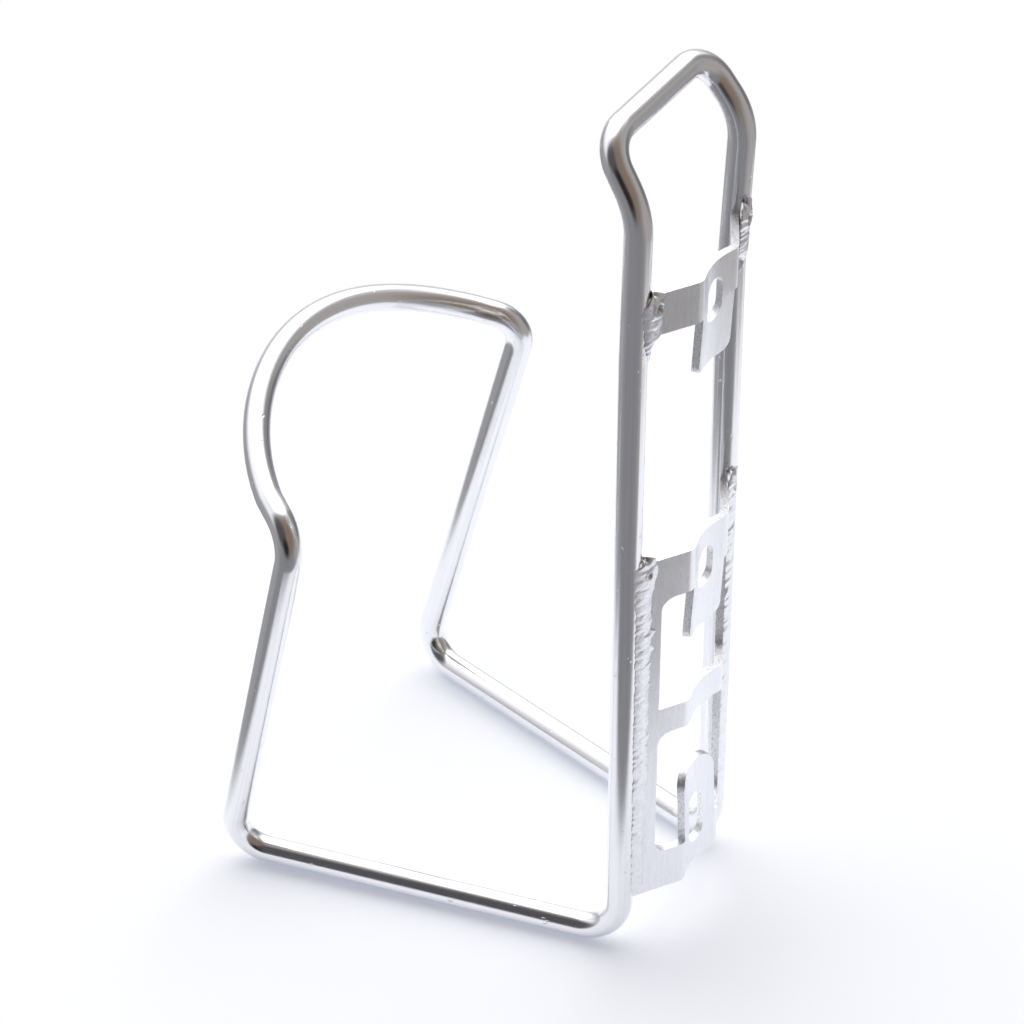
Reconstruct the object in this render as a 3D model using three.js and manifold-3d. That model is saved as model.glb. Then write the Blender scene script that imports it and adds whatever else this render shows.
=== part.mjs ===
// Bicycle water bottle cage: one bent aluminium rod, two folded mounting brackets and their weld beads.
// Millimetres, +Z up. The cage stands on its two base rails. -Y is the bottle side, +Y the bicycle side.
import * as THREE from 'three';
import * as BufferGeometryUtils from 'three/addons/utils/BufferGeometryUtils.js';
import Module from 'manifold-3d';

const wasm = await Module();
wasm.setup();

// Rod: its diameter, and the corners of its centreline on the right-hand half.
const rodDiameter = 5.4;
const rodRadius = rodDiameter / 2;
const rodSides = 12;
const uprightHalfSpacing = 18;
const kneeHeight = 146.5;
const hookNeck = { x: 18.8, y: 1.0, z: 180.2 };
const hookCorner = { x: 17.3, y: -7.5, z: 192.3 };
const baseFront = { x: 36.6, y: -81.2 };
const kink = { x: 42.4, y: -60.7, z: 93.2 };

// Front hoop: an elliptical arc in a leaning plane that runs from one kink to the other.
const hoopFront = { y: -87.3, z: 107.2 };
const hoopLongRadius = 56.4;
const hoopBow = 1.45;
const hoopSteps = 22;
const hoopSkip = 2;

// Bend radii, measured to the rod's centreline.
const hookCornerBend = 7;
const hookNeckBend = 16;
const baseRearBend = 8.5;
const baseFrontBend = 7;
const kinkBend = 7;
const bendStep = THREE.MathUtils.degToRad(15);

// The rod's two ends meet on the left upright, behind the lower bracket's weld.
const rodJointHeight = 55;
const jointGap = 0.3;

// Brackets: one folded section, cradling a frame tube between two crests and sloping down to the uprights.
const sheet = 1.6;
const cradleRadius = 14.3;
const cradleHalfWidth = 5.2;
const cradleBack = 6.7;
const crestRadius = 2.5;
const strapSlope = THREE.MathUtils.degToRad(31);
const clearance = 0.3;
const cradleFacets = 5;

// Mounting slots, on the 64 mm spacing of bottle cage bosses, and the flat left at a slot's round end.
const bossSpacing = 64;
const middleSlotHeight = 87.6;
const slotHalfWidth = 2.7;
const slotLength = 9.6;
const lowerSlotLength = 12.4;
const slotEndFlat = 0.02;

// Upper bracket heights.
const upperStrapBottom = 150.9;
const upperStrapTop = 160.3;
const tongueHalfWidth = 5.7;
const tongueDrop = 13.9;
const tongueLean = 0.05;

// Lower bracket heights and its two windows.
const lowerTop = 96.8;
const lowerBottom = 12.2;
const windowHalfWidth = 12.3;
const upperWindow = { bottom: 59.1, top: 86.7 };
const lowerWindow = { bottom: 21.8, top: 52.7 };
const windowCorner = 2.8;
const lowerTongueTop = 37.9;
const hangingCorner = 2.6;
const standingCorner = 4.2;

// Weld beads, along the inside edge of each upright.
const beadWidth = 2.5;
const beadBulge = 1.1;
const upperBead = { bottom: 148.6, top: 163.0 };
const lowerBead = { bottom: 14.0, top: 99.0 };

const rodMaterial = new THREE.MeshStandardMaterial({ color: 0xc9cbd0, roughness: 0.22, metalness: 1 });
const sheetMaterial = new THREE.MeshStandardMaterial({ color: 0xd6d7da, roughness: 0.38, metalness: 1 });
const weldMaterial = new THREE.MeshStandardMaterial({ color: 0xbfc2c7, roughness: 0.45, metalness: 1 });

// A path given by its stations, so that straight runs need no points between their ends.
class StationPath extends THREE.Curve {
  constructor(stations) {
    super();
    this.stations = stations;
  }

  getPoint(t, target = new THREE.Vector3()) {
    const index = Math.round(t * (this.stations.length - 1));
    return target.copy(this.stations[index]);
  }

  getPointAt(u, target) {
    return this.getPoint(u, target);
  }

  getTangentAt(u, target = new THREE.Vector3()) {
    const last = this.stations.length - 1;
    const index = Math.round(u * last);
    const here = this.stations[index];
    const before = this.stations[Math.max(index - 1, 0)];
    const after = this.stations[Math.min(index + 1, last)];
    const arriving = here.clone().sub(before).normalize();
    const leaving = after.clone().sub(here).normalize();
    return target.copy(arriving).add(leaving).normalize();
  }
}

// Rounds each corner of a line with its own bend radius and returns the stations.
function bendThrough(corners) {
  const stations = [corners[0].at];
  for (let i = 1; i < corners.length - 1; i += 1) {
    const { at, bend } = corners[i];
    const arriving = at.clone().sub(corners[i - 1].at).normalize();
    const leaving = corners[i + 1].at.clone().sub(at).normalize();
    const turn = arriving.angleTo(leaving);
    if (!bend || turn < 0.01) {
      stations.push(at);
      continue;
    }
    const start = at.clone().addScaledVector(arriving, -bend * Math.tan(turn / 2));
    const inward = leaving.clone().addScaledVector(arriving, -Math.cos(turn)).divideScalar(Math.sin(turn));
    const steps = Math.ceil(turn / bendStep);
    for (let k = 0; k <= steps; k += 1) {
      const angle = (turn * k) / steps;
      const station = start.clone();
      station.addScaledVector(arriving, bend * Math.sin(angle));
      station.addScaledVector(inward, bend * (1 - Math.cos(angle)));
      stations.push(station);
    }
  }
  stations.push(corners[corners.length - 1].at);
  return stations;
}

// Points of the front hoop, from the right kink to the left. The first and last leave room for the kinks.
function hoopPoints() {
  const foot = new THREE.Vector3(0, kink.y, kink.z);
  const front = new THREE.Vector3(0, hoopFront.y, hoopFront.z);
  const rise = front.clone().sub(foot);
  const height = rise.length();
  const along = rise.normalize();
  const across = new THREE.Vector3(1, 0, 0);
  const outOfPlane = across.clone().cross(along);
  const endAngle = Math.acos((hoopLongRadius - height) / hoopLongRadius);
  const shortRadius = kink.x / Math.sin(endAngle);
  const centre = foot.clone().addScaledVector(along, height - hoopLongRadius);
  const points = [];
  for (let i = hoopSkip; i <= hoopSteps - hoopSkip; i += 1) {
    const angle = endAngle * (1 - (2 * i) / hoopSteps);
    const share = (Math.cos(angle) - Math.cos(endAngle)) / (1 - Math.cos(endAngle));
    const point = centre.clone();
    point.addScaledVector(along, hoopLongRadius * Math.cos(angle));
    point.addScaledVector(across, shortRadius * Math.sin(angle));
    point.addScaledVector(outOfPlane, hoopBow * 4 * share * (1 - share));
    points.push({ at: point, bend: 0 });
  }
  return points;
}

// Corners of one half of the cage; side is +1 on the right and -1 on the left.
function sideCorners(side) {
  const corner = (x, y, z, bend) => ({ at: new THREE.Vector3(side * x, y, z), bend });
  return {
    hookCorner: corner(hookCorner.x, hookCorner.y, hookCorner.z, hookCornerBend),
    hookNeck: corner(hookNeck.x, hookNeck.y, hookNeck.z, hookNeckBend),
    knee: corner(uprightHalfSpacing, 0, kneeHeight, 0),
    baseRear: corner(uprightHalfSpacing, 0, rodRadius, baseRearBend),
    baseFront: corner(baseFront.x, baseFront.y, rodRadius, baseFrontBend),
    kink: corner(kink.x, kink.y, kink.z, kinkBend),
  };
}

function rodGeometry() {
  const right = sideCorners(1);
  const left = sideCorners(-1);
  const end = (offset) => ({
    at: new THREE.Vector3(-uprightHalfSpacing, 0, rodJointHeight + offset),
    bend: 0,
  });
  const corners = [
    end(jointGap / 2), left.knee, left.hookNeck, left.hookCorner,
    right.hookCorner, right.hookNeck, right.knee, right.baseRear, right.baseFront, right.kink,
    ...hoopPoints(),
    left.kink, left.baseFront, left.baseRear, end(-jointGap / 2),
  ];
  const stations = bendThrough(corners);
  const section = new THREE.Shape();
  for (let i = 0; i < rodSides; i += 1) {
    const angle = (2 * Math.PI * i) / rodSides;
    const x = rodRadius * Math.cos(angle);
    const y = rodRadius * Math.sin(angle);
    if (i === 0) section.moveTo(x, y);
    else section.lineTo(x, y);
  }
  section.closePath();
  return new THREE.ExtrudeGeometry(section, {
    steps: stations.length - 1,
    extrudePath: new StationPath(stations),
  });
}

// Back face of the folded section on the right half, from the middle of the cradle to the strap's end.
function backFaceStations() {
  const stations = [];
  const cradleTurn = Math.asin(cradleHalfWidth / cradleRadius);
  for (let i = 0; i < cradleFacets; i += 2) {
    const angle = (cradleTurn * (i + 1)) / cradleFacets;
    stations.push({
      x: cradleRadius * Math.sin(angle),
      y: cradleBack + cradleRadius * (1 - Math.cos(angle)),
      slope: angle,
    });
  }
  const edge = stations[stations.length - 1];
  const crestSteps = 5;
  for (let i = 1; i <= crestSteps; i += 1) {
    const slope = cradleTurn - ((cradleTurn + strapSlope) * i) / crestSteps;
    stations.push({
      x: edge.x + crestRadius * (Math.sin(cradleTurn) - Math.sin(slope)),
      y: edge.y + crestRadius * (Math.cos(slope) - Math.cos(cradleTurn)),
      slope,
    });
  }
  const bend = stations[stations.length - 1];
  const reach = (uprightHalfSpacing - bend.x) * Math.cos(strapSlope) + bend.y * Math.sin(strapSlope);
  const strapLength = reach - rodRadius - clearance;
  stations.push({
    x: bend.x + strapLength * Math.cos(strapSlope),
    y: bend.y - strapLength * Math.sin(strapSlope),
    slope: -strapSlope,
  });
  return stations;
}

// The folded section as a closed outline in X and Y. grow thickens it on both faces.
function foldedSection(grow = 0) {
  const right = backFaceStations();
  const offset = (station, depth) => new THREE.Vector2(
    station.x + Math.sin(station.slope) * depth,
    station.y - Math.cos(station.slope) * depth,
  );
  const mirror = (point) => new THREE.Vector2(-point.x, point.y);
  const back = right.map((station) => offset(station, -grow));
  const front = right.map((station) => offset(station, sheet + grow));
  const outline = [
    ...back.map(mirror).reverse(),
    ...back,
    ...[...front].reverse(),
    ...front.map(mirror),
  ];
  return new THREE.Shape(outline);
}

function toManifold(geometry) {
  const bare = geometry.clone();
  bare.deleteAttribute('normal');
  bare.deleteAttribute('uv');
  const merged = BufferGeometryUtils.mergeVertices(bare, 1e-4);
  return new wasm.Manifold(new wasm.Mesh({
    numProp: 3,
    vertProperties: new Float32Array(merged.attributes.position.array),
    triVerts: new Uint32Array(merged.index.array),
  }));
}

function toGeometry(solid) {
  const mesh = solid.getMesh();
  const geometry = new THREE.BufferGeometry();
  geometry.setAttribute('position', new THREE.BufferAttribute(new Float32Array(mesh.vertProperties), 3));
  geometry.setIndex(new THREE.BufferAttribute(new Uint32Array(mesh.triVerts), 1));
  geometry.computeVertexNormals();
  return geometry;
}

// A flat outline in X and Z, cut through the sheet along Y.
function cutAlongY(outline) {
  const depth = 40;
  const geometry = new THREE.ExtrudeGeometry(outline, { depth, bevelEnabled: false, curveSegments: 6 });
  geometry.rotateX(Math.PI / 2);
  geometry.translate(0, depth / 2, 0);
  return toManifold(geometry);
}

// The folded sheet between two heights. lean moves it towards the bottle side for each mm away from the root.
function foldedSlab(bottom, top, root = 0, lean = 0) {
  const geometry = new THREE.ExtrudeGeometry(foldedSection(), { depth: top - bottom, bevelEnabled: false });
  const shear = new THREE.Matrix4().set(
    1, 0, 0, 0,
    0, 1, lean, 0,
    0, 0, 1, root,
    0, 0, 0, 1,
  );
  geometry.translate(0, 0, bottom - root);
  return toManifold(geometry.applyMatrix4(shear));
}

// A rectangle with a radius for each corner, in the order bottom left, bottom right, top right, top left.
function roundedBox(left, right, bottom, top, radii) {
  const [bottomLeft, bottomRight, topRight, topLeft] = radii;
  const box = new THREE.Shape();
  const quarter = Math.PI / 2;
  box.moveTo(left + bottomLeft, bottom);
  box.lineTo(right - bottomRight, bottom);
  if (bottomRight) box.absarc(right - bottomRight, bottom + bottomRight, bottomRight, -quarter, 0);
  box.lineTo(right, top - topRight);
  if (topRight) box.absarc(right - topRight, top - topRight, topRight, 0, quarter);
  box.lineTo(left + topLeft, top);
  if (topLeft) box.absarc(left + topLeft, top - topLeft, topLeft, quarter, 2 * quarter);
  box.lineTo(left, bottom + bottomLeft);
  if (bottomLeft) box.absarc(left + bottomLeft, bottom + bottomLeft, bottomLeft, 2 * quarter, 3 * quarter);
  return box;
}

// A slot with round ends. A hair of flat stays between each end's two arcs, so that no edge has zero length.
function slotOutline(height, length) {
  const w = slotHalfWidth;
  const r = w - slotEndFlat / 2;
  const bottom = height - length / 2;
  return roundedBox(-w, w, bottom, bottom + length, [r, r, r, r]);
}

// A tab of the sheet between two heights, rounded at its free end.
function tongueOutline(bottom, top, hangs) {
  const radii = hangs
    ? [hangingCorner, hangingCorner, 0, 0]
    : [0, 0, standingCorner, standingCorner];
  return roundedBox(-tongueHalfWidth, tongueHalfWidth, bottom, top, radii);
}

// A tongue that hangs from root down to free, or stands up from root to free.
function tongue(root, free) {
  const bottom = Math.min(root, free);
  const top = Math.max(root, free);
  const hangs = free < root;
  const lean = hangs ? tongueLean : -tongueLean;
  const sheetPiece = foldedSlab(bottom, top, root, lean);
  return sheetPiece.intersect(cutAlongY(tongueOutline(bottom, top, hangs)));
}

function upperBracketGeometry() {
  const strap = foldedSlab(upperStrapBottom, upperStrapTop);
  const hanging = tongue(upperStrapBottom, upperStrapBottom - tongueDrop);
  const slot = cutAlongY(slotOutline(middleSlotHeight + bossSpacing, slotLength));
  return toGeometry(strap.add(hanging).subtract(slot));
}

function lowerBracketGeometry() {
  const slab = foldedSlab(lowerBottom, lowerTop);
  const w = windowHalfWidth;
  const c = windowCorner;
  const upperHole = roundedBox(-w, w, upperWindow.bottom, upperWindow.top, [0, 0, c, c]);
  const lowerHole = roundedBox(-w, w, lowerWindow.bottom, lowerWindow.top, [c, c, c, c]);
  const tongueDown = tongue(upperWindow.top, upperWindow.top - tongueDrop);
  const tongueUp = tongue(lowerWindow.bottom, lowerTongueTop);
  const middleSlot = cutAlongY(slotOutline(middleSlotHeight, slotLength));
  const lowerSlot = cutAlongY(slotOutline(middleSlotHeight - bossSpacing, lowerSlotLength));
  const frame = slab.subtract(cutAlongY(upperHole)).subtract(cutAlongY(lowerHole));
  return toGeometry(frame.add(tongueDown).add(tongueUp).subtract(middleSlot).subtract(lowerSlot));
}

// One bead in the corner between an upright and the back face of a strap. It follows the upright's lean.
function beadGeometry(side, { bottom, top }, lean) {
  const reach = rodRadius + clearance;
  const strap = backFaceStations().pop();
  const outward = new THREE.Vector2(Math.sin(strapSlope), Math.cos(strapSlope));
  const inward = new THREE.Vector2(-Math.cos(strapSlope), Math.sin(strapSlope));
  const centre = new THREE.Vector2(uprightHalfSpacing, 0);
  const face = new THREE.Vector2(strap.x, strap.y).addScaledVector(outward, clearance);
  const faceOffset = face.clone().sub(centre).dot(outward);
  const footAngle = Math.asin(faceOffset / reach);
  const spread = beadWidth / reach;
  const arcSteps = 4;
  const onRod = (angle) => centre.clone()
    .addScaledVector(outward, reach * Math.sin(angle))
    .addScaledVector(inward, reach * Math.cos(angle));
  const points = [];
  for (let i = 0; i <= arcSteps; i += 1) points.push(onRod(footAngle + spread * (1 - i / arcSteps)));
  const corner = points[points.length - 1];
  const onFace = corner.clone().addScaledVector(inward, beadWidth);
  points.push(onFace);
  const from = onFace;
  const to = points[0];
  const bulgeSteps = 4;
  const chord = to.clone().sub(from);
  const away = new THREE.Vector2(chord.y, -chord.x).normalize();
  if (away.dot(outward) < 0) away.negate();
  for (let i = 1; i < bulgeSteps; i += 1) {
    const share = i / bulgeSteps;
    const rise = beadBulge * Math.sin(Math.PI * share);
    points.push(from.clone().addScaledVector(chord, share).addScaledVector(away, rise));
  }
  const outline = points.map((point) => new THREE.Vector2(side * point.x, point.y));
  const profile = new THREE.Shape(outline);
  const geometry = new THREE.ExtrudeGeometry(profile, { depth: top - bottom, bevelEnabled: false });
  geometry.translate(0, 0, bottom - kneeHeight);
  const shear = new THREE.Matrix4().set(
    1, 0, side * lean.x, 0,
    0, 1, lean.y, 0,
    0, 0, 1, kneeHeight,
    0, 0, 0, 1,
  );
  return geometry.applyMatrix4(shear);
}

const cage = new THREE.Group();

function addPiece(name, geometry, material) {
  const mesh = new THREE.Mesh(geometry, material.clone());
  mesh.name = name;
  cage.add(mesh);
}

addPiece('cage_rod', rodGeometry(), rodMaterial);
addPiece('upper_bracket', upperBracketGeometry(), sheetMaterial);
addPiece('lower_bracket', lowerBracketGeometry(), sheetMaterial);
const upperLean = {
  x: (hookNeck.x - uprightHalfSpacing) / (hookNeck.z - kneeHeight),
  y: hookNeck.y / (hookNeck.z - kneeHeight),
};
const noLean = { x: 0, y: 0 };
for (const [name, side] of [['left', -1], ['right', 1]]) {
  addPiece(`upper_weld_${name}`, beadGeometry(side, upperBead, upperLean), weldMaterial);
  addPiece(`lower_weld_${name}`, beadGeometry(side, lowerBead, noLean), weldMaterial);
}

// The origin is the middle of the footprint, on the surface that the rails stand on.
const extent = new THREE.Box3().setFromObject(cage, true);
const middle = extent.getCenter(new THREE.Vector3());
cage.position.set(-middle.x, -middle.y, -extent.min.z);

const bottleCage = new THREE.Group();
bottleCage.add(cage);

export default bottleCage;
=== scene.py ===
"""Looks for a bicycle bottle cage: one bent rod, two folded brackets and four weld beads.

Shapes are worked out in millimetres around the uprights, as the CAD part's are, and then
moved into the row frame.
"""

import math

import bmesh
import bpy
from mathutils import Matrix, Vector, noise

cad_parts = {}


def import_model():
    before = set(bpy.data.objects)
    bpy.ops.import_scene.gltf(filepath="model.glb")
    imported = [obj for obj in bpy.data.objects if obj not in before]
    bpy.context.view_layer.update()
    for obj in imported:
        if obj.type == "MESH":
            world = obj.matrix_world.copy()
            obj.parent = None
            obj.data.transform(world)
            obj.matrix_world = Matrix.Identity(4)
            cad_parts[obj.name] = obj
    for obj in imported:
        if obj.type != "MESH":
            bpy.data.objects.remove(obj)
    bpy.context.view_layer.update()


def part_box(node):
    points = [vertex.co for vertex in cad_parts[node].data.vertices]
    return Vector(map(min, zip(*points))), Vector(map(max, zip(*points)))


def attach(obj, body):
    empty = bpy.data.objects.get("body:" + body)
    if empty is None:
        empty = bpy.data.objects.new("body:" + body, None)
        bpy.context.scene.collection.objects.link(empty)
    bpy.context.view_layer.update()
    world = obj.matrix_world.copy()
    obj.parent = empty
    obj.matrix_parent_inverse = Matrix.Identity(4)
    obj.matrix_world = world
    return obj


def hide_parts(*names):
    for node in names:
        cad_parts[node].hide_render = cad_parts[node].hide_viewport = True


MM = 0.001
QUARTER = math.pi / 2

# Height where the CAD part's lower welds start, which ties the design to the row frame.
CAD_WELD_BOTTOM = 14.0

# Rod: its radius, corners of its centreline on the right half, and their bend radii.
ROD_RADIUS = 2.7
UPRIGHT_X = 18.0
KNEE_Z = 146.5
HOOK_NECK = (18.8, 1.0, 180.2)
HOOK_CORNER = (17.3, -7.5, 192.3)
BASE_FRONT = (36.6, -81.2, ROD_RADIUS)
KINK = (42.4, -60.7, 93.2)
HOOK_CORNER_BEND = 7.0
HOOK_NECK_BEND = 16.0
KNEE_BEND = 60.0
BASE_REAR_BEND = 8.5
BASE_FRONT_BEND = 7.0
KINK_BEND = 7.0
ROD_JOINT_Z = 55.0

# Rod mesh: turn between the stations of a bend, least turn that is bent, longest run, and sides.
BEND_STEP = math.radians(3)
LEAST_TURN = 0.004
LONGEST_RUN = 3.0
ROD_SIDES = 48

# Front hoop: an elliptical arc in a leaning plane, up to a front given in Y and Z. The kinks'
# bends take the place of its first and last steps.
HOOP_FRONT = (-87.3, 107.2)
HOOP_LONG_RADIUS = 56.4
HOOP_BOW = 1.45
HOOP_STEPS = 110
HOOP_SKIP = 10

# Folded section of the brackets: a cradle for the frame tube between two sloping straps.
SHEET = 1.6
CRADLE_RADIUS = 14.3
CRADLE_HALF_WIDTH = 5.2
CRADLE_BACK = 6.7
CREST_RADIUS = 2.5
STRAP_SLOPE = math.radians(31)
STRAP_SINK = 0.5
CRADLE_STEPS = 8
CREST_STEPS = 10

# Heights and outlines of the brackets.
BOSS_SPACING = 64.0
MIDDLE_SLOT_Z = 87.6
SLOT_HALF_WIDTH = 2.7
SLOT_END_FLAT = 0.02
SLOT_LENGTH = 9.6
LOWER_SLOT_LENGTH = 12.4
UPPER_STRAP = (150.9, 160.3)
TONGUE_HALF_WIDTH = 5.7
TONGUE_DROP = 13.9
TONGUE_LEAN = 0.05
TONGUE_CORNER = 2.6
LOWER_PLATE = (12.2, 96.8)
WINDOW_HALF_WIDTH = 12.3
UPPER_WINDOW = (59.1, 86.7)
LOWER_WINDOW = (21.8, 52.7)
WINDOW_CORNER = 2.8
LOWER_TONGUE_TOP = 37.9
LOWER_TONGUE_CORNER = 4.2

# Bracket mesh: steps of a round corner and of half a slot's end, first height and spacing of the
# level cuts, how near to a cut a point is taken to be on it, and the rounding of the edges.
CORNER_STEPS = 8
SLOT_END_STEPS = 10
CUT_START = 2
CUT_SPACING = 3
CUT_REACH = 1e-5
TOUCH = 1e-3
EDGE_ROUND = 0.16
EDGE_STEPS = 2
EDGE_ANGLE = math.radians(50)
FRONT_GRAIN = 3.0

# Weld beads: mesh spacing, how far their edges and ends sink, and how sharply their skin rises.
BEAD_ROW = 0.16
BEAD_COLUMNS = 26
BEAD_SINK = 0.08
END_SINK = 1.2 * BEAD_SINK
BEAD_CROWN = 0.9
TAIL_BULGE = 0.4
ROOT_GAP = 0.2
ROOT_DEPTH = 0.5

# Heads, horns, teeth and craters of the beads. A crater is longer than it is wide, and its rim
# is measured in crater radii.
HEAD_DEPTH = 3.4
HEAD_LENGTH = 4.2
HEAD_LIFT = 0.12
HEAD_ON_ROD = 0.5
HORN_WIDTH = 0.13
TOOTH_WIDTH = 0.9
CRATER_SQUEEZE = 0.75
RIM_AT = 1.9
RIM_WIDTH = 0.6
RIM_SHARE = 0.4

# Ripples: how unevenly they follow each other, their mean height, and where they are deepest.
RIPPLE_WANDER = 0.3
RIPPLE_MEAN = 0.8
RIPPLE_MIDDLE = 0.32
RIPPLE_SPREAD = 0.25
RIPPLE_LEAST = 0.3

# Noise on the beads. Edges: share of the width, place in the noise, and rate along the bead.
# Skin: rate across, rate along, and channel. The materials' grain runs across a bead from 0 to
# BEAD_GRAIN.
STRAP_EDGE_WAVES = ((0.14, 0, 0.55), (0.12, 4, 1.6))
ROD_EDGE_WAVES = ((0.16, 8, 1.1),)
RIPPLE_NOISE = (2, 0.7, 0)
LUMP_NOISE = (3, 0.9, 1.3)
GRIT_NOISE = (12, 4, 5.3)
GRIT_HEIGHT = 0.03
SEED_SPREAD = 1.7
BEAD_GRAIN = 3.0

# Lean of the uprights above the knee, for each millimetre of height.
UPPER_LEAN = (
    (HOOK_NECK[0] - UPRIGHT_X) / (HOOK_NECK[2] - KNEE_Z),
    HOOK_NECK[1] / (HOOK_NECK[2] - KNEE_Z),
)

# Beads. Widths are given at the bottom and at the top, and tails as the heights between which an
# edge grows to its full width. A horn has a place across the bead and a height. A crater has a
# place across, a depth below the top, a radius and its own depth. A tooth has a depth below the
# top and its reach.
LONG_BEAD = {
    "bottom": 13.6, "top": 98.2, "lean": (0, 0),
    "strap_width": (2.4, 2.5), "rod_width": (2.0, 3.0),
    "strap_tail": (-1, 0), "rod_tail": (-1, 0), "taper": 1.0, "bulge": 0.5, "swell": 1.2,
    "pitch": 2.2, "arch": 0.9, "ripple": 0.13, "lump": 0.10,
    "horns": [(0.35, 0.5), (0.8, 0.9)],
    "craters": [(0.6, 3.4, 0.42, 0.55)],
    "teeth": [(18.8, 0.9), (22.7, 0.9)],
}
SHORT_BEAD = {
    "bottom": 145.4, "top": 161.2, "lean": UPPER_LEAN,
    "strap_width": (2.5, 2.9), "rod_width": (2.0, 3.4),
    "strap_tail": (3.6, 6.4), "rod_tail": (-2.5, 5), "taper": 2.6, "bulge": 0.8, "swell": 0.5,
    "pitch": 2.4, "arch": 2.4, "ripple": 0.2, "lump": 0.16,
    "horns": [(0.3, 1.5), (0.95, 0.7)],
    "craters": [(0.62, 2.7, 0.6, 0.9)],
    "teeth": [],
}

# Name, side, CAD weld it replaces, and shape of each bead.
BEADS = (
    ("lower_bead_right", 1, "lower_weld_right", {**LONG_BEAD, "seed": 2.3}),
    ("lower_bead_left", -1, "lower_weld_left", {
        **LONG_BEAD, "seed": 7.9, "top": 98.8, "teeth": [(30.0, 0.7)],
    }),
    ("upper_bead_right", 1, "upper_weld_right", {**SHORT_BEAD, "seed": 13.3}),
    ("upper_bead_left", -1, "upper_weld_left", {**SHORT_BEAD, "seed": 18.9, "top": 162.4}),
)

# Dark and light tones of the metals.
ROD_TONES = ((0.845, 0.85, 0.87), (0.925, 0.93, 0.95))
SHEET_TONES = ((0.87, 0.885, 0.92), (0.92, 0.935, 0.965))
# The sheared edges' dark tone is painted shade in the pits of their grain, and their light tone sits on
# the raised grains.
SHEARED_TONES_WITH_PIT_SHADE = ((0.62, 0.62, 0.65), (0.96, 0.97, 0.99))
WELD_TONES = ((0.83, 0.845, 0.875), (0.93, 0.945, 0.975))

# Camera, as the photograph stands: angles in degrees, lens and sensor in millimetres, and eye in
# metres.
CAMERA_AZIMUTH = 121.73
CAMERA_ELEVATION = 38.23
CAMERA_ROLL = 0.62
CAMERA_LENS = 210.94
CAMERA_SENSOR = 36.0
CAMERA_EYE = (0.78984, 0.49222, 0.81387)

# Paper under the object, in metres, its cool glow that brings it up to white, and the backdrop.
FLOOR_DROP = 0.0001
FLOOR_HALF_SIDE = 0.6
PAPER_WHITE = (0.86, 0.86, 0.86, 1)
PAPER_GLOW = (0.74, 0.82, 1.0, 1)
PAPER_GLOW_STRENGTH = 0.30
PAPER_ROUGHNESS = 0.9
PAPER_SHEEN = 0.1
BACKDROP_WHITE = (1, 1, 1, 1)

# Where the paper ends around the object: azimuth of the edge, and the metres between which it
# fades away.
PAPER_EDGES = (
    (CAMERA_AZIMUTH, 0.066, 0.090),
    (CAMERA_AZIMUTH - 90, 0.065, 0.092),
    (CAMERA_AZIMUTH + 90, 0.19, 0.25),
    (CAMERA_AZIMUTH + 180, 0.105, 0.215),
)

# The tent's panels and its opening, painted one over another on a plain ground: azimuth and
# elevation, radii in degrees where a patch is full and where it has faded away, and colour.
TENT_GROUND = (0.34, 0.34, 0.355, 1)
STUDIO = (
    ((310, -12), 12, 36, (0.66, 0.67, 0.70)),
    ((0, 90), 62, 94, (1.08, 1.08, 1.10)),
    ((141, 4), 81, 96, (0.39, 0.365, 0.35)),
    ((110, -42), 32, 68, (0.235, 0.235, 0.25)),
    ((140, 33), 26, 62, (0.225, 0.172, 0.132)),
    ((82, 30), 20, 42, (0.085, 0.082, 0.09)),
    ((112, 4), 8, 28, (0.015, 0.013, 0.013)),
    ((248, 0), 8, 26, (0.16, 0.155, 0.165)),
    ((245, 24), 6, 22, (0.27, 0.26, 0.26)),
    ((312, 53), 32, 44, (2.1, 2.1, 2.1)),
)


def frame_shift():
    """Where the design's origin, between the uprights, stands in the row frame, in millimetres."""
    weld_low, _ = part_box("lower_weld_right")
    _, bracket_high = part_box("lower_bracket")
    crest = max(station[1] for station in section_stations())
    return Vector((0.0, bracket_high[1] / MM - crest, weld_low[2] / MM - CAD_WELD_BOTTOM))


def to_frame(point, shift):
    """A point given in millimetres around the uprights, in metres in the row frame."""
    return (Vector(point) + shift) * MM


# ---------------------------------------------------------------- rod


def bend_through(corners):
    """Stations of a line whose corners are bent to their own radii."""
    stations = [corners[0][0]]
    for i in range(1, len(corners) - 1):
        at, bend = corners[i]
        arriving = (at - corners[i - 1][0]).normalized()
        leaving = (corners[i + 1][0] - at).normalized()
        turn = arriving.angle(leaving)
        if not bend or turn < LEAST_TURN:
            stations.append(at)
            continue
        start = at - arriving * (bend * math.tan(turn / 2))
        inward = (leaving - arriving * math.cos(turn)) / math.sin(turn)
        steps = max(2, math.ceil(turn / BEND_STEP))
        for k in range(steps + 1):
            angle = turn * k / steps
            stations.append(
                start
                + arriving * (bend * math.sin(angle))
                + inward * (bend * (1 - math.cos(angle)))
            )
    stations.append(corners[-1][0])
    return stations


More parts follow.
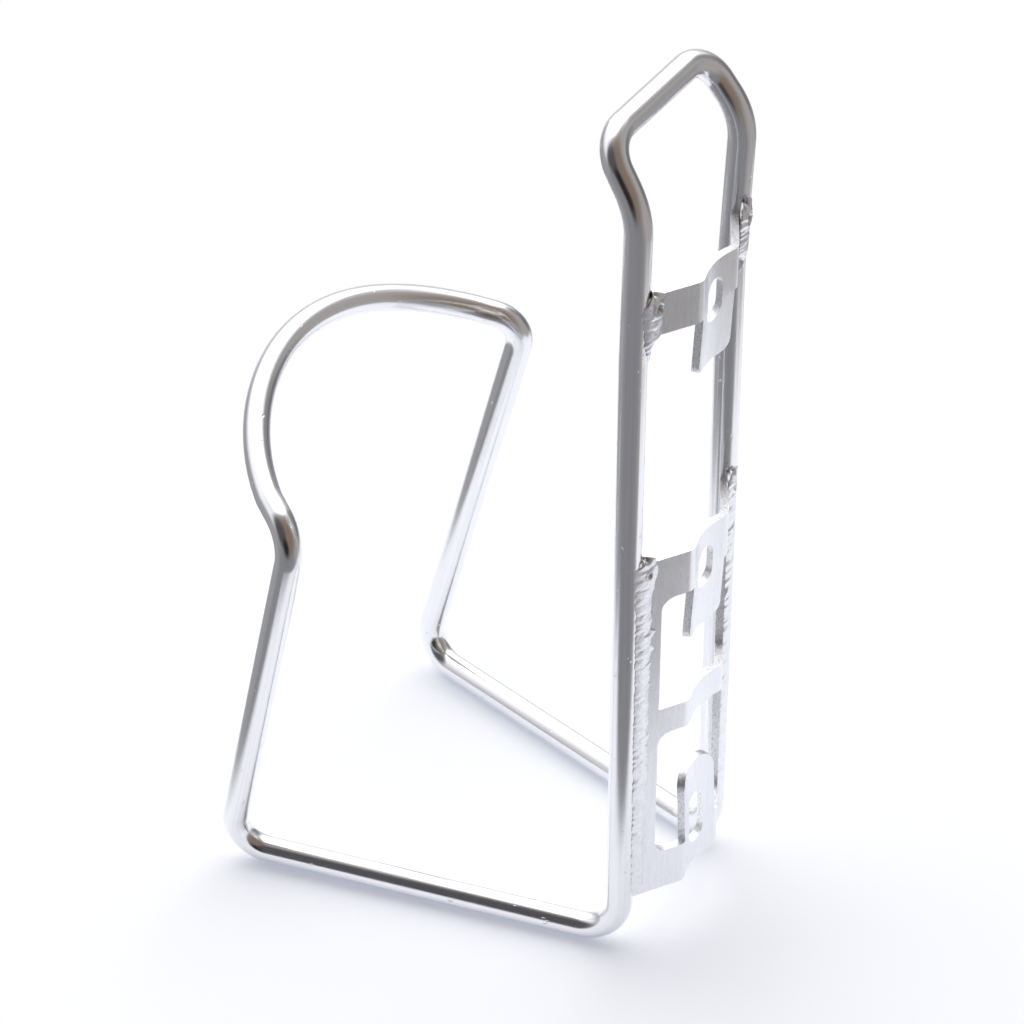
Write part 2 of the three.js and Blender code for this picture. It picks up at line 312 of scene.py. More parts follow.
def hoop_points():
    """The front hoop's stations, from the right kink over the front to the left kink."""
    foot = Vector((0, KINK[1], KINK[2]))
    front = Vector((0, HOOP_FRONT[0], HOOP_FRONT[1]))
    height = (front - foot).length
    along = (front - foot).normalized()
    across = Vector((1, 0, 0))
    out_of_plane = across.cross(along)
    end_angle = math.acos((HOOP_LONG_RADIUS - height) / HOOP_LONG_RADIUS)
    short_radius = KINK[0] / math.sin(end_angle)
    centre = foot + along * (height - HOOP_LONG_RADIUS)
    points = []
    for i in range(HOOP_SKIP, HOOP_STEPS - HOOP_SKIP + 1):
        angle = end_angle * (1 - 2 * i / HOOP_STEPS)
        share = (math.cos(angle) - math.cos(end_angle)) / (1 - math.cos(end_angle))
        points.append((
            centre
            + along * (HOOP_LONG_RADIUS * math.cos(angle))
            + across * (short_radius * math.sin(angle))
            + out_of_plane * (HOOP_BOW * 4 * share * (1 - share)),
            0,
        ))
    return points


def side_corners(side):
    """Corners and bend radii of one half of the rod; side is 1 on the right and -1 on the left."""
    def corner(x, y, z, bend):
        return (Vector((side * x, y, z)), bend)

    return {
        "hook_corner": corner(*HOOK_CORNER, HOOK_CORNER_BEND),
        "hook_neck": corner(*HOOK_NECK, HOOK_NECK_BEND),
        "knee": corner(UPRIGHT_X, 0, KNEE_Z, KNEE_BEND),
        "base_rear": corner(UPRIGHT_X, 0, ROD_RADIUS, BASE_REAR_BEND),
        "base_front": corner(*BASE_FRONT, BASE_FRONT_BEND),
        "kink": corner(*KINK, KINK_BEND),
    }


def rod_stations():
    """The rod's closed centreline, from its joint on the left upright and back to it."""
    right, left = side_corners(1), side_corners(-1)
    end = (Vector((-UPRIGHT_X, 0, ROD_JOINT_Z)), 0)
    corners = [end, left["knee"], left["hook_neck"], left["hook_corner"]]
    corners += [right["hook_corner"], right["hook_neck"], right["knee"]]
    corners += [right["base_rear"], right["base_front"], right["kink"]]
    corners += hoop_points()
    corners += [left["kink"], left["base_front"], left["base_rear"], end]
    return split_long_runs(bend_through(corners)[:-1])


def split_long_runs(stations):
    """The closed loop of stations, with none further apart than LONGEST_RUN."""
    result = []
    for here, after in zip(stations, stations[1:] + stations[:1]):
        pieces = max(1, math.ceil((after - here).length / LONGEST_RUN))
        result += [here.lerp(after, k / pieces) for k in range(pieces)]
    return result


def loop_frames(stations):
    """A tangent and a turn-free cross direction at each station of a closed loop."""
    count = len(stations)
    steps = [(stations[(i + 1) % count] - stations[i]).normalized() for i in range(count)]
    tangents = [(steps[i] + steps[i - 1]).normalized() for i in range(count)]
    cross = tangents[0].cross(Vector((0, 1, 0))).normalized()
    frames = []
    for i, tangent in enumerate(tangents):
        if i:
            cross = tangents[i - 1].rotation_difference(tangent) @ cross
        cross = (cross - tangent * cross.dot(tangent)).normalized()
        frames.append((tangent, cross, tangent.cross(cross)))
    first = frames[0][1]
    closing = tangents[-1].rotation_difference(tangents[0]) @ cross
    slip = math.atan2(closing.cross(first).dot(tangents[0]), closing.dot(first))
    untwisted = []
    for i, (tangent, cross, side) in enumerate(frames):
        turn = Matrix.Rotation(slip * i / count, 3, tangent)
        untwisted.append((tangent, turn @ cross, turn @ side))
    return untwisted


def make_rod(shift, material):
    """A round tube of faces along the rod's centreline, closed into a ring."""
    stations = rod_stations()
    frames = loop_frames(stations)
    verts, grain = [], []
    travelled = 0.0
    for i, station in enumerate(stations):
        if i:
            travelled += (station - stations[i - 1]).length
        _, cross, side = frames[i]
        for k in range(ROD_SIDES):
            angle = 2 * math.pi * k / ROD_SIDES
            outward = cross * math.cos(angle) + side * math.sin(angle)
            verts.append(to_frame(station + outward * ROD_RADIUS, shift))
            grain.append((math.cos(angle), math.sin(angle), travelled / ROD_RADIUS))
    faces = []
    count = len(stations)
    for i in range(count):
        for k in range(ROD_SIDES):
            a, b = i * ROD_SIDES, ((i + 1) % count) * ROD_SIDES
            n = (k + 1) % ROD_SIDES
            faces.append((a + k, a + n, b + n, b + k))
    return finish_mesh("cage_rod_smooth", verts, faces, [material], "cage_rod", grain)


def finish_mesh(name, verts, faces, materials, replaced, grain, rim_faces=()):
    """A piece that rides on the root body. Its grain places each point in the materials' noise,
    and its rim faces have the second material."""
    mesh = bpy.data.meshes.new(name)
    mesh.from_pydata([tuple(v) for v in verts], [], faces)
    for material in materials:
        mesh.materials.append(material)
    for polygon in mesh.polygons:
        polygon.use_smooth = True
    for index in rim_faces:
        mesh.polygons[index].material_index = 1
    attribute = mesh.attributes.new("grain", "FLOAT_VECTOR", "POINT")
    for item, value in zip(attribute.data, grain):
        item.vector = value
    mesh.update()
    piece = bpy.data.objects.new(name, mesh)
    bpy.context.scene.collection.objects.link(piece)
    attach(piece, "root")
    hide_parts(replaced)
    return piece


# ---------------------------------------------------------------- brackets


def section_stations():
    """(x, y, slope) down the right half of the folded section's back face, from the cradle's middle."""
    turn = math.asin(CRADLE_HALF_WIDTH / CRADLE_RADIUS)
    stations = []
    for i in range(CRADLE_STEPS + 1):
        angle = turn * i / CRADLE_STEPS
        stations.append((
            CRADLE_RADIUS * math.sin(angle),
            CRADLE_BACK + CRADLE_RADIUS * (1 - math.cos(angle)),
            angle,
        ))
    edge_x, edge_y, _ = stations[-1]
    for i in range(1, CREST_STEPS + 1):
        slope = turn - (turn + STRAP_SLOPE) * i / CREST_STEPS
        stations.append((
            edge_x + CREST_RADIUS * (math.sin(turn) - math.sin(slope)),
            edge_y + CREST_RADIUS * (math.cos(slope) - math.cos(turn)),
            slope,
        ))
    bend_x, bend_y, _ = stations[-1]
    reach = (UPRIGHT_X - bend_x) * math.cos(STRAP_SLOPE) + bend_y * math.sin(STRAP_SLOPE)
    length = reach - ROD_RADIUS + STRAP_SINK
    stations.append((
        bend_x + length * math.cos(STRAP_SLOPE),
        bend_y - length * math.sin(STRAP_SLOPE),
        -STRAP_SLOPE,
    ))
    return stations


def fold(x, z, stations, lean):
    """Back and front points of the sheet at x, z, leant forward by what lean says there."""
    side = -1 if x < 0 else 1
    x = abs(x)
    for (x0, y0, s0), (x1, y1, s1) in zip(stations, stations[1:]):
        if x <= x1 + TOUCH:
            share = min(max((x - x0) / (x1 - x0), 0), 1)
            y = y0 + (y1 - y0) * share
            slope = s0 + (s1 - s0) * share
            break
    forward = lean(x, z)
    back = Vector((side * x, y - forward, z))
    front = back + Vector((side * math.sin(slope), -math.cos(slope), 0)) * SHEET
    return back, front


def arc(cx, cz, radius, start, end, steps=CORNER_STEPS):
    """Points of a circle's arc in X and Z, from a start to an end angle."""
    return [
        (cx + radius * math.cos(a), cz + radius * math.sin(a))
        for a in (start + (end - start) * i / steps for i in range(steps + 1))
    ]


def flat_sheet(outer, holes, stations):
    """The sheet as seen from the front: a flat mesh, cut at every station of the folded section."""
    flat = bmesh.new()
    for outline in [outer] + holes:
        verts = [flat.verts.new((x, 0, z)) for x, z in outline]
        for a, b in zip(verts, verts[1:] + verts[:1]):
            flat.edges.new((a, b))
    bmesh.ops.triangle_fill(flat, edges=flat.edges[:], use_beauty=True)
    for x in sorted({round(side * s[0], 6) for s in stations[:-1] for side in (-1, 1)}):
        cut(flat, (x, 0, 0), (1, 0, 0))
    z_low = min(z for _, z in outer)
    z_high = max(z for _, z in outer)
    for z in range(int(z_low) + CUT_START, int(z_high), CUT_SPACING):
        cut(flat, (0, 0, z), (0, 0, 1))
    flat.verts.ensure_lookup_table()
    return flat


def cut(mesh, point, normal):
    """New edges where a plane crosses the mesh."""
    geometry = mesh.verts[:] + mesh.edges[:] + mesh.faces[:]
    bmesh.ops.bisect_plane(mesh, geom=geometry, plane_co=point, plane_no=normal, dist=CUT_REACH)


def make_bracket(name, outer, holes, lean, shift, materials, replaced):
    """A folded sheet with an outline and holes in X and Z."""
    stations = section_stations()
    flat = flat_sheet(outer, holes, stations)
    count = len(flat.verts)
    verts = [None] * (2 * count)
    grain = [None] * (2 * count)
    for i, vert in enumerate(flat.verts):
        vert.index = i
        back, front = fold(vert.co.x, vert.co.z, stations, lean)
        verts[i], verts[count + i] = to_frame(back, shift), to_frame(front, shift)
        grain[i] = (vert.co.x, 0.0, vert.co.z)
        grain[count + i] = (vert.co.x, FRONT_GRAIN, vert.co.z)
    faces, rims = [], []
    for face in flat.faces:
        loop = [v.index for v in face.verts]
        faces.append(tuple(loop))
        faces.append(tuple(count + i for i in reversed(loop)))
    for edge in flat.edges:
        if len(edge.link_faces) == 1:
            loop = edge.link_loops[0]
            a, b = loop.vert.index, loop.link_loop_next.vert.index
            rims.append(len(faces))
            faces.append((b, a, count + a, count + b))
    flat.free()
    piece = finish_mesh(name, verts, faces, materials, replaced, grain, rims)
    clean_normals(piece)
    bevel = piece.modifiers.new("rounded_edges", "BEVEL")
    bevel.width = EDGE_ROUND * MM
    bevel.segments = EDGE_STEPS
    bevel.limit_method = "ANGLE"
    bevel.angle_limit = EDGE_ANGLE
    bevel.harden_normals = True
    return piece


def clean_normals(piece):
    """Turns every face outwards."""
    mesh = bmesh.new()
    mesh.from_mesh(piece.data)
    bmesh.ops.recalc_face_normals(mesh, faces=mesh.faces[:])
    mesh.to_mesh(piece.data)
    mesh.free()


def slot_outline(height, length):
    """A slot with round ends. A hair of flat stays between each end's two arcs."""
    inset = SLOT_END_FLAT / 2
    radius = SLOT_HALF_WIDTH - inset
    low = height - length / 2 + radius
    high = height + length / 2 - radius
    corners = ((-inset, low), (inset, low), (inset, high), (-inset, high))
    points = []
    for turn, (x, z) in enumerate(corners, start=2):
        points += arc(x, z, radius, turn * QUARTER, (turn + 1) * QUARTER, SLOT_END_STEPS)
    return points


def upper_window():
    """Outline of the upper window, around the tongue that hangs into it."""
    low, high = UPPER_WINDOW
    edge = WINDOW_HALF_WIDTH - WINDOW_CORNER
    crown = high - WINDOW_CORNER
    flat = TONGUE_HALF_WIDTH - TONGUE_CORNER
    tip = high - TONGUE_DROP + TONGUE_CORNER
    return [
        (-WINDOW_HALF_WIDTH, low),
        (WINDOW_HALF_WIDTH, low),
        *arc(edge, crown, WINDOW_CORNER, 0, QUARTER),
        (TONGUE_HALF_WIDTH, high),
        *arc(flat, tip, TONGUE_CORNER, 0, -QUARTER),
        *arc(-flat, tip, TONGUE_CORNER, -QUARTER, -2 * QUARTER),
        (-TONGUE_HALF_WIDTH, high),
        *arc(-edge, crown, WINDOW_CORNER, QUARTER, 2 * QUARTER),
    ]


def lower_window():
    """Outline of the lower window, around the tongue that stands up in it."""
    low, high = LOWER_WINDOW
    edge = WINDOW_HALF_WIDTH - WINDOW_CORNER
    crown = high - WINDOW_CORNER
    sill = low + WINDOW_CORNER
    flat = TONGUE_HALF_WIDTH - LOWER_TONGUE_CORNER
    tip = LOWER_TONGUE_TOP - LOWER_TONGUE_CORNER
    return [
        *arc(edge, crown, WINDOW_CORNER, 0, QUARTER),
        *arc(-edge, crown, WINDOW_CORNER, QUARTER, 2 * QUARTER),
        *arc(-edge, sill, WINDOW_CORNER, 2 * QUARTER, 3 * QUARTER),
        (-TONGUE_HALF_WIDTH, low),
        *arc(-flat, tip, LOWER_TONGUE_CORNER, 2 * QUARTER, QUARTER),
        *arc(flat, tip, LOWER_TONGUE_CORNER, QUARTER, 0),
        (TONGUE_HALF_WIDTH, low),
        *arc(edge, sill, WINDOW_CORNER, 3 * QUARTER, 4 * QUARTER),
    ]


def upper_bracket(shift, materials):
    """One strap with a tongue that hangs from it, and a slot."""
    strap_end = section_stations()[-1][0]
    bottom, top = UPPER_STRAP
    flat = TONGUE_HALF_WIDTH - TONGUE_CORNER
    tip = bottom - TONGUE_DROP + TONGUE_CORNER
    outer = [
        (-strap_end, bottom),
        (-TONGUE_HALF_WIDTH, bottom),
        *arc(-flat, tip, TONGUE_CORNER, 2 * QUARTER, 3 * QUARTER),
        *arc(flat, tip, TONGUE_CORNER, 3 * QUARTER, 4 * QUARTER),
        (TONGUE_HALF_WIDTH, bottom),
        (strap_end, bottom),
        (strap_end, top),
        (-strap_end, top),
    ]
    holes = [slot_outline(MIDDLE_SLOT_Z + BOSS_SPACING, SLOT_LENGTH)]

    def lean(x, z):
        return TONGUE_LEAN * max(bottom - z, 0)

    return make_bracket("upper_bracket_sheet", outer, holes, lean, shift, materials, "upper_bracket")


def lower_bracket(shift, materials):
    """A plate with two windows. A tongue hangs into the upper one, and one stands up in the lower."""
    strap_end = section_stations()[-1][0]
    bottom, top = LOWER_PLATE
    outer = [(-strap_end, bottom), (strap_end, bottom), (strap_end, top), (-strap_end, top)]
    holes = [
        upper_window(),
        lower_window(),
        slot_outline(MIDDLE_SLOT_Z, SLOT_LENGTH),
        slot_outline(MIDDLE_SLOT_Z - BOSS_SPACING, LOWER_SLOT_LENGTH),
    ]
    hanging_root = UPPER_WINDOW[1]
    hanging_tip = hanging_root - TONGUE_DROP
    standing_root = LOWER_WINDOW[0]

    def lean(x, z):
        if x > TONGUE_HALF_WIDTH + TOUCH:
            return 0.0
        if hanging_tip - TOUCH < z < hanging_root:
            return TONGUE_LEAN * (hanging_root - z)
        if standing_root < z < LOWER_TONGUE_TOP + TOUCH:
            return TONGUE_LEAN * (z - standing_root)
        return 0.0

    return make_bracket("lower_bracket_sheet", outer, holes, lean, shift, materials, "lower_bracket")


# ---------------------------------------------------------------- welds


def corner_frame(lean, z):
    """Centre of the right upright, and the strap's outward and inward directions, at a height."""
    rise = max(z - KNEE_Z, 0)
    centre = Vector((UPRIGHT_X + lean[0] * rise, lean[1] * rise, z))
    outward = Vector((math.sin(STRAP_SLOPE), math.cos(STRAP_SLOPE), 0))
    inward = Vector((-math.cos(STRAP_SLOPE), math.sin(STRAP_SLOPE), 0))
    return centre, outward, inward


def strap_face_offset():
    """How far the strap's back face stands outwards of the upright's centreline."""
    x, y, _ = section_stations()[-1]
    _, outward, _ = corner_frame((0, 0), 0)
    return (Vector((x, y, 0)) - Vector((UPRIGHT_X, 0, 0))).dot(outward)


def smooth(value, start, end):
    """0 before start, 1 past end, eased between them."""
    share = min(max((value - start) / (end - start), 0), 1)
    return share * share * (3 - 2 * share)


def bell(value, middle, width):
    """1 at the middle, falling away on both sides of it."""
    return math.exp(-(((value - middle) / width) ** 2))


def blend(ends, share):
    """A value part of the way from the first end to the second."""
    return ends[0] + (ends[1] - ends[0]) * share


def bead_noise(bead, x, z, channel):
    """Noise that differs from bead to bead and from channel to channel."""
    return noise.noise(Vector((x + bead["seed"], channel + SEED_SPREAD * bead["seed"], z)))


def unevenness(bead, z, waves):
    """About 1, more or less by each wave's share."""
    return 1 + sum(share * bead_noise(bead, place, z * rate, 0) for share, place, rate in waves)


def skin_noise(bead, t, z, pattern):
    """Noise over a bead's skin."""
    across, along, channel = pattern
    return bead_noise(bead, t * across, z * along, channel)


def relief(bead, t, z):
    """Height of the arched ripples, the lumps and the fine grit."""
    phase = (z - bead["arch"] * (2 * t - 1) ** 2) / bead["pitch"]
    phase += RIPPLE_WANDER * skin_noise(bead, t, z, RIPPLE_NOISE)
    groove = math.sqrt(abs(math.sin(math.pi * phase))) - RIPPLE_MEAN
    ripple = bead["ripple"] * blend((RIPPLE_LEAST, 1), bell(t, RIPPLE_MIDDLE, RIPPLE_SPREAD))
    lumps = bead["lump"] * skin_noise(bead, t, z, LUMP_NOISE)
    grit = GRIT_HEIGHT * skin_noise(bead, t, z, GRIT_NOISE)
    return ripple * groove + lumps + grit


def craters(bead, t, width, below):
    """Height of the pits and their raised rims, at a depth below the bead's top."""
    height = 0.0
    for at, middle, radius, depth in bead["craters"]:
        gap = math.hypot((t - at) * width, CRATER_SQUEEZE * (below - middle)) / radius
        height += depth * (RIM_SHARE * bell(gap, RIM_AT, RIM_WIDTH) - bell(gap, 0, 1))
    return height


def bead_chord(bead, z, offset, on_rod, on_strap):
    """Where the skin meets the rod and the strap at a height, and the direction it rises in."""
    centre, outward, inward = corner_frame(bead["lean"], z)
    foot = math.asin(offset / ROD_RADIUS)
    reach = foot + on_rod / ROD_RADIUS
    corner = centre + (outward * math.sin(foot) + inward * math.cos(foot)) * ROD_RADIUS
    start = centre + (outward * math.sin(reach) + inward * math.cos(reach)) * ROD_RADIUS
    finish = corner + inward * on_strap
    rise = (finish - start).cross(Vector((0, 0, 1))).normalized()
    if rise.dot(outward) < 0:
        rise = -rise
    return start, finish, rise


def bead_point(bead, t, v, offset):
    """A point of the skin: t runs from the rod to the strap, and v from the bottom to the top."""
    top = bead["top"] + sum(height * bell(t, at, HORN_WIDTH) for at, height in bead["horns"])
    z = blend((bead["bottom"], top), v)
    above, below = z - bead["bottom"], top - z
    end = min(min(above, below) / bead["taper"], 1)
    cap = math.sqrt(max(end * (2 - end), 0))
    head = bead["swell"] * bell(below, HEAD_DEPTH, HEAD_LENGTH)
    teeth = sum(reach * bell(below, depth, TOOTH_WIDTH) for depth, reach in bead["teeth"])
    strap_growth = smooth(above, *bead["strap_tail"])
    rod_growth = smooth(above, *bead["rod_tail"])
    on_strap = blend(bead["strap_width"], v) * unevenness(bead, z, STRAP_EDGE_WAVES)
    on_strap = (on_strap * strap_growth + head + teeth) * cap
    on_rod = blend(bead["rod_width"], v) * unevenness(bead, z, ROD_EDGE_WAVES)
    on_rod = (on_rod + HEAD_ON_ROD * head) * rod_growth * cap

    start, finish, rise = bead_chord(bead, z, offset, on_rod, on_strap)
    bulge = bead["bulge"] * blend((TAIL_BULGE, 1), rod_growth) + HEAD_LIFT * head
    height = (bulge + relief(bead, t, z)) * math.sin(math.pi * t) ** BEAD_CROWN
    height += craters(bead, t, on_strap + on_rod, below)
    sink = END_SINK * (1 - cap)
    if t in (0, 1):
        sink += BEAD_SINK
    _, outward, _ = corner_frame(bead["lean"], z)
    return start.lerp(finish, t) + rise * (height * cap) - outward * sink


def make_weld(name, side, bead, shift, material, replaced):
    """A rippled bead in the corner between an upright and a strap, closed behind along a root."""
    rows = int((bead["top"] - bead["bottom"]) / BEAD_ROW)
    wide = BEAD_COLUMNS + 1
    offset = strap_face_offset()
    points, grain = [], []
    for i in range(rows + 1):
        for k in range(wide):
            point = bead_point(bead, k / BEAD_COLUMNS, i / rows, offset)
            points.append(point)
            grain.append((BEAD_GRAIN * k / BEAD_COLUMNS, bead["seed"], point.z))
    root = len(points)
    for i in range(rows + 1):
        z = points[i * wide].z
        centre, outward, inward = corner_frame(bead["lean"], z)
        points.append(centre + inward * (ROD_RADIUS + ROOT_GAP) + outward * (offset - ROOT_DEPTH))
        grain.append((BEAD_GRAIN / 2, bead["seed"], z))
    faces = []
    for i in range(rows):
        for k in range(BEAD_COLUMNS):
            a = i * wide + k
            faces.append((a, a + 1, a + wide + 1, a + wide))
    for i in range(rows):
        left, right = i * wide, i * wide + BEAD_COLUMNS
        faces.append((left + wide, root + i + 1, root + i, left))
        faces.append((right, root + i, root + i + 1, right + wide))
    faces.append((root, *range(wide)))
    faces.append((*reversed(range(rows * wide, root)), root + rows))
    verts = [to_frame((side * p.x, p.y, p.z), shift) for p in points]
    piece = finish_mesh(name, verts, faces, [material], replaced, grain)
    clean_normals(piece)
    return piece


# ---------------------------------------------------------------- materials


def new_material(name):
    """A material with its node tree and its shader."""
    material = bpy.data.materials.new(name)
    material.use_nodes = True
    tree = material.node_tree
    return material, tree, tree.nodes["Principled BSDF"]


def node(tree, kind, inputs=None, **settings):
    """A node with its settings and the values of its inputs."""
    made = tree.nodes.new(kind)
    for key, value in settings.items():
        setattr(made, key, value)
    for key, value in (inputs or {}).items():
        made.inputs[key].default_value = value
    return made


def grain_noise(tree, scale, detail=3.0, roughness=0.6):
    """Noise over the piece's own grain coordinates, stretched by scale."""
    attribute = node(tree, "ShaderNodeAttribute", attribute_name="grain")
    mapping = node(tree, "ShaderNodeMapping", {"Scale": scale})
    texture = node(tree, "ShaderNodeTexNoise", {"Scale": 1.0, "Detail": detail, "Roughness": roughness})
    tree.links.new(attribute.outputs["Vector"], mapping.inputs["Vector"])
    tree.links.new(mapping.outputs["Vector"], texture.inputs["Vector"])
    return texture.outputs["Fac"]


def spread(tree, value, low, high, from_low=0.3, from_high=0.7):
    """Noise mapped to run from low to high. Most of it lies between from_low and from_high."""
    remap = node(tree, "ShaderNodeMapRange", {
        "From Min": from_low, "From Max": from_high, "To Min": low, "To Max": high,
    })
    tree.links.new(value, remap.inputs["Value"])
    return remap.outputs["Result"]


def tone(tree, value, tones):
    """The dark tone where the value is 0, and the light tone where it is 1."""
    mix = node(tree, "ShaderNodeMix", data_type="RGBA")
    mix.inputs["A"].default_value = (*tones[0], 1)
    mix.inputs["B"].default_value = (*tones[1], 1)
    tree.links.new(value, mix.inputs["Factor"])
    return mix.outputs["Result"]


def bump(tree, height, strength, distance, over=None):
    """A relief of some millimetres, laid over another one where that is given."""
    made = node(tree, "ShaderNodeBump", {"Strength": strength, "Distance": distance * MM})
    tree.links.new(height, made.inputs["Height"])
    if over is not None:
        tree.links.new(over, made.inputs["Normal"])
    return made.outputs["Normal"]


def dress_metal(tree, shader, colour, roughness, normal):
    """Bare metal whose colour, roughness and relief come from other nodes."""
    shader.inputs["Metallic"].default_value = 1.0
    tree.links.new(colour, shader.inputs["Base Color"])
    tree.links.new(roughness, shader.inputs["Roughness"])
    tree.links.new(normal, shader.inputs["Normal"])


def rod_material():
    """Drawn and polished: fine lines run along the rod, with a few small dents."""
    material, tree, shader = new_material("drawn_aluminium")
    fine = grain_noise(tree, (26, 26, 0.12), 4)
    broad = grain_noise(tree, (7, 7, 0.05), 2)
    cloud = grain_noise(tree, (1.5, 1.5, 0.6), 3)
    spots = grain_noise(tree, (2.6, 2.6, 1.1), 1)
    dents = spread(tree, spots, 0, 1, 0.74, 0.785)
    colour = tone(tree, spread(tree, broad, 0, 1), ROD_TONES)
    roughness = node(tree, "ShaderNodeMath", operation="ADD")
    tree.links.new(spread(tree, fine, 0.14, 0.22), roughness.inputs[0])
    tree.links.new(spread(tree, cloud, -0.01, 0.03), roughness.inputs[1])
    scored = bump(tree, fine, 0.35, 0.02)
    dented = bump(tree, dents, 0.6, -0.12, scored)
    dress_metal(tree, shader, colour, roughness.outputs[0], dented)
    return material


def sheet_material():
    """Rolled sheet, finely brushed upwards."""
    material, tree, shader = new_material("brushed_sheet")
    lines = grain_noise(tree, (9.0, 9.0, 0.18), 4)
    wide = grain_noise(tree, (1.8, 1.8, 0.07), 2)
    colour = tone(tree, spread(tree, wide, 0, 1), SHEET_TONES)
    dress_metal(tree, shader, colour, spread(tree, lines, 0.24, 0.36), bump(tree, lines, 0.2, 0.02))
    return material


def sheared_material():
    """Torn, granular edge left by the shear: bright burnished grains, with shade painted dark into the
    pits between them.
    """
    material, tree, shader = new_material("sheared_edge")
    grit = grain_noise(tree, (2.6, 1.4, 1.6), 5, 0.75)
    fine = grain_noise(tree, (7.0, 5.0, 5.0), 3, 0.7)
    # Painted shade: the colour follows the same noise as the relief, dark in its pits and light on its
    # raised grains.
    colour = tone(tree, spread(tree, grit, 0, 1, 0.38, 0.52), SHEARED_TONES_WITH_PIT_SHADE)
    dress_metal(tree, shader, colour, spread(tree, fine, 0.32, 0.50), bump(tree, grit, 0.45, 0.12))
    return material


def weld_material():
    """Bare weld metal with a dull skin and fine grit."""
    material, tree, shader = new_material("weld_bead")
    grit = grain_noise(tree, (6.0, 1.0, 6.0), 5, 0.7)
    skin = grain_noise(tree, (1.2, 1.0, 0.8), 3)
    colour = tone(tree, spread(tree, skin, 0, 1), WELD_TONES)
    dress_metal(tree, shader, colour, spread(tree, grit, 0.22, 0.42), bump(tree, grit, 0.5, 0.05))
    return material


# ---------------------------------------------------------------- studio


def direction(azimuth, elevation):
    """Unit vector towards a view of the object, with azimuth 0 at the hoop's side."""
    az, el = math.radians(azimuth), math.radians(elevation)
    return Vector((math.sin(az) * math.cos(el), -math.cos(az) * math.cos(el), math.sin(el)))


def add_camera():
    """The photograph's own view."""
    back = direction(CAMERA_AZIMUTH, CAMERA_ELEVATION)
    level = direction(CAMERA_AZIMUTH + 90, 0)
    upward = level.cross(-back)
    roll = math.radians(CAMERA_ROLL)
    right = level * math.cos(roll) + upward * math.sin(roll)
    up = upward * math.cos(roll) - level * math.sin(roll)
    data = bpy.data.cameras.new("photo_view")
    data.lens = CAMERA_LENS
    data.sensor_width = CAMERA_SENSOR
    camera = bpy.data.objects.new("photo_view", data)
    matrix = Matrix((right, up, back)).transposed().to_4x4()
    matrix.translation = Vector(CAMERA_EYE)
    camera.matrix_world = matrix
    bpy.context.scene.collection.objects.link(camera)
    bpy.context.scene.camera = camera


def facing(tree, towards, inner, outer):
    """1 within inner degrees of a direction, falling smoothly to 0 at outer degrees."""
    coordinates = node(tree, "ShaderNodeTexCoord")
    dot = node(tree, "ShaderNodeVectorMath", operation="DOT_PRODUCT")
    dot.inputs[1].default_value = towards
    tree.links.new(coordinates.outputs["Generated"], dot.inputs[0])
    ends = {"From Min": math.cos(math.radians(outer)), "From Max": math.cos(math.radians(inner))}
    ramp = node(tree, "ShaderNodeMapRange", ends, interpolation_type="SMOOTHSTEP")
    tree.links.new(dot.outputs["Value"], ramp.inputs["Value"])
    return ramp.outputs["Result"]


def layer(tree, under, mask, colour):
    """A colour laid over another colour or node, where the mask is 1."""
    mix = node(tree, "ShaderNodeMix", data_type="RGBA")
    tree.links.new(mask, mix.inputs["Factor"])
    if isinstance(under, tuple):
        mix.inputs["A"].default_value = under
    else:
        tree.links.new(under, mix.inputs["A"])
    mix.inputs["B"].default_value = colour
    return mix.outputs["Result"]


def add_studio():
    """A white tent, open on the camera's side, where the dim room shows."""
    world = bpy.data.worlds.new("white_tent")
    world.use_nodes = True
    tree = world.node_tree
    tree.nodes.clear()
    colour = TENT_GROUND
    for towards, inner, outer, tint in STUDIO:
        colour = layer(tree, colour, facing(tree, direction(*towards), inner, outer), (*tint, 1))
    light = node(tree, "ShaderNodeBackground", {"Strength": 1.0})
    tree.links.new(colour, light.inputs["Color"])
    backdrop = node(tree, "ShaderNodeBackground", {"Color": BACKDROP_WHITE, "Strength": 1.0})
    path = node(tree, "ShaderNodeLightPath")
    chosen = node(tree, "ShaderNodeMixShader")
    output = node(tree, "ShaderNodeOutputWorld")
    tree.links.new(path.outputs["Is Camera Ray"], chosen.inputs["Fac"])
    tree.links.new(light.outputs["Background"], chosen.inputs[1])
    tree.links.new(backdrop.outputs["Background"], chosen.inputs[2])
    tree.links.new(chosen.outputs["Shader"], output.inputs["Surface"])
    bpy.context.scene.world = world


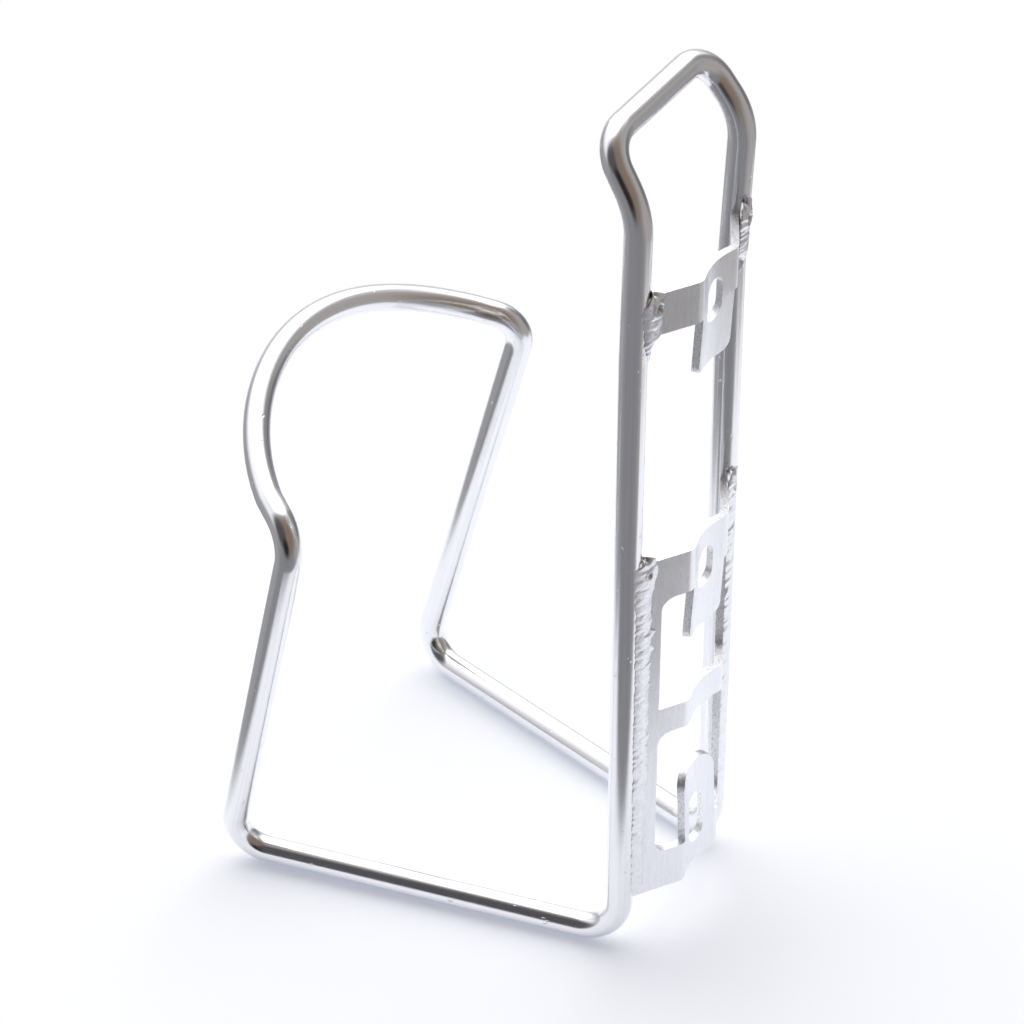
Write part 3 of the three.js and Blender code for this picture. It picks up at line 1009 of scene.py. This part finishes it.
def edge_fade(tree, azimuth, start, end):
    """0 on the paper, rising to 1 past its edge on one side of the object."""
    geometry = node(tree, "ShaderNodeNewGeometry")
    reach = node(tree, "ShaderNodeVectorMath", operation="DOT_PRODUCT")
    reach.inputs[1].default_value = direction(azimuth, 0)
    ends = {"From Min": start, "From Max": end}
    fade = node(tree, "ShaderNodeMapRange", ends, interpolation_type="SMOOTHSTEP")
    tree.links.new(geometry.outputs["Position"], reach.inputs[0])
    tree.links.new(reach.outputs["Value"], fade.inputs["Value"])
    return fade.outputs["Result"]


def add_floor():
    """White paper that fades out into the white backdrop."""
    mesh = bpy.data.meshes.new("paper_floor")
    far = FLOOR_HALF_SIDE
    corners = [(-far, -far, 0), (far, -far, 0), (far, far, 0), (-far, far, 0)]
    mesh.from_pydata(corners, [], [(0, 1, 2, 3)])
    material, tree, shader = new_material("white_paper")
    shader.inputs["Base Color"].default_value = PAPER_WHITE
    shader.inputs["Emission Color"].default_value = PAPER_GLOW
    shader.inputs["Emission Strength"].default_value = PAPER_GLOW_STRENGTH
    shader.inputs["Roughness"].default_value = PAPER_ROUGHNESS
    shader.inputs["Specular IOR Level"].default_value = PAPER_SHEEN
    fade = None
    for azimuth, start, end in PAPER_EDGES:
        edge = edge_fade(tree, azimuth, start, end)
        if fade is None:
            fade = edge
            continue
        both = node(tree, "ShaderNodeMath", operation="MAXIMUM")
        tree.links.new(fade, both.inputs[0])
        tree.links.new(edge, both.inputs[1])
        fade = both.outputs["Value"]
    clear = node(tree, "ShaderNodeBsdfTransparent")
    mix = node(tree, "ShaderNodeMixShader")
    output = tree.nodes["Material Output"]
    tree.links.new(fade, mix.inputs["Fac"])
    tree.links.new(shader.outputs["BSDF"], mix.inputs[1])
    tree.links.new(clear.outputs["BSDF"], mix.inputs[2])
    tree.links.new(mix.outputs["Shader"], output.inputs["Surface"])
    mesh.materials.append(material)
    floor = bpy.data.objects.new("paper_floor", mesh)
    floor.location.z = -FLOOR_DROP
    bpy.context.scene.collection.objects.link(floor)


def main():
    """Loads the CAD part and lays the looks over it."""
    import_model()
    shift = frame_shift()
    rod = rod_material()
    sheets = [sheet_material(), sheared_material()]
    weld = weld_material()
    make_rod(shift, rod)
    upper_bracket(shift, sheets)
    lower_bracket(shift, sheets)
    for name, side, replaced, bead in BEADS:
        make_weld(name, side, bead, shift, weld, replaced)
    add_floor()
    add_studio()
    add_camera()
    bpy.context.scene.view_settings.view_transform = "Standard"


main()
